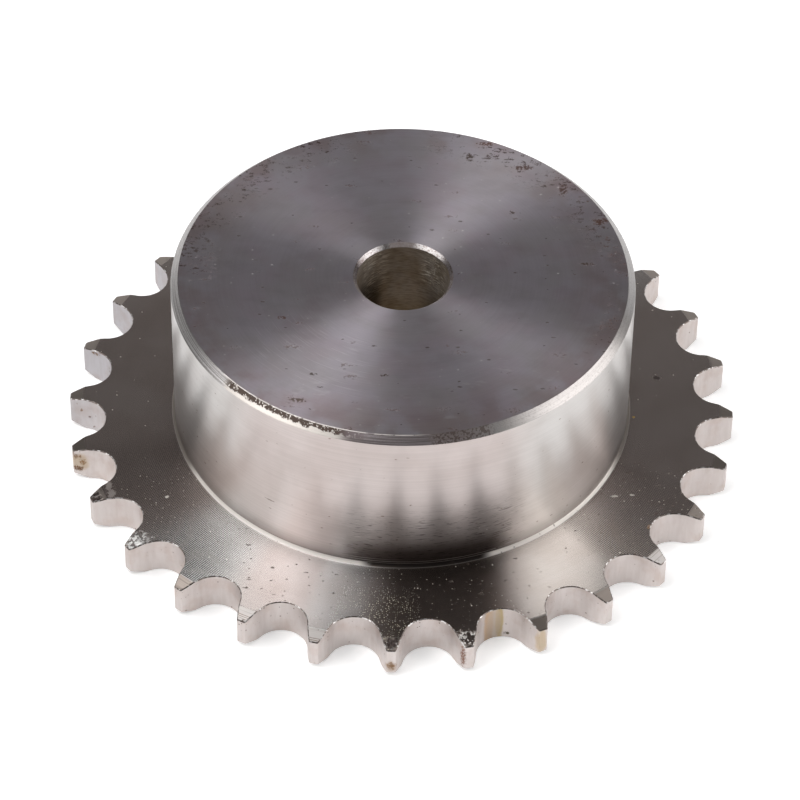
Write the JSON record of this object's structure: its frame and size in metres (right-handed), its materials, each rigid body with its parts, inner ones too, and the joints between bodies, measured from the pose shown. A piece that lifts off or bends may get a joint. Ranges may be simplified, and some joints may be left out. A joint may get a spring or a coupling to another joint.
{
  "type": "chain sprocket",
  "caption": "Toothed steel wheel with a one-sided cylindrical hub and a plain pilot bore; it drives or is driven by a simple roller chain.",
  "frame": {"origin": "centre of the toothed plate's back face, on the bore axis", "axes": "+Z along the bore from the plate's back face towards the hub; +X through the middle of a tooth"},
  "size_m": [0.088, 0.088, 0.028],
  "materials": {
    "turned_steel": "bare carbon steel as turned and hobbed, oiled, with spots of rust and a streak of brown oxide"
  },
  "bodies": {
    "root": {"sprocket": "turned_steel"}
  },
  "joints": []
}
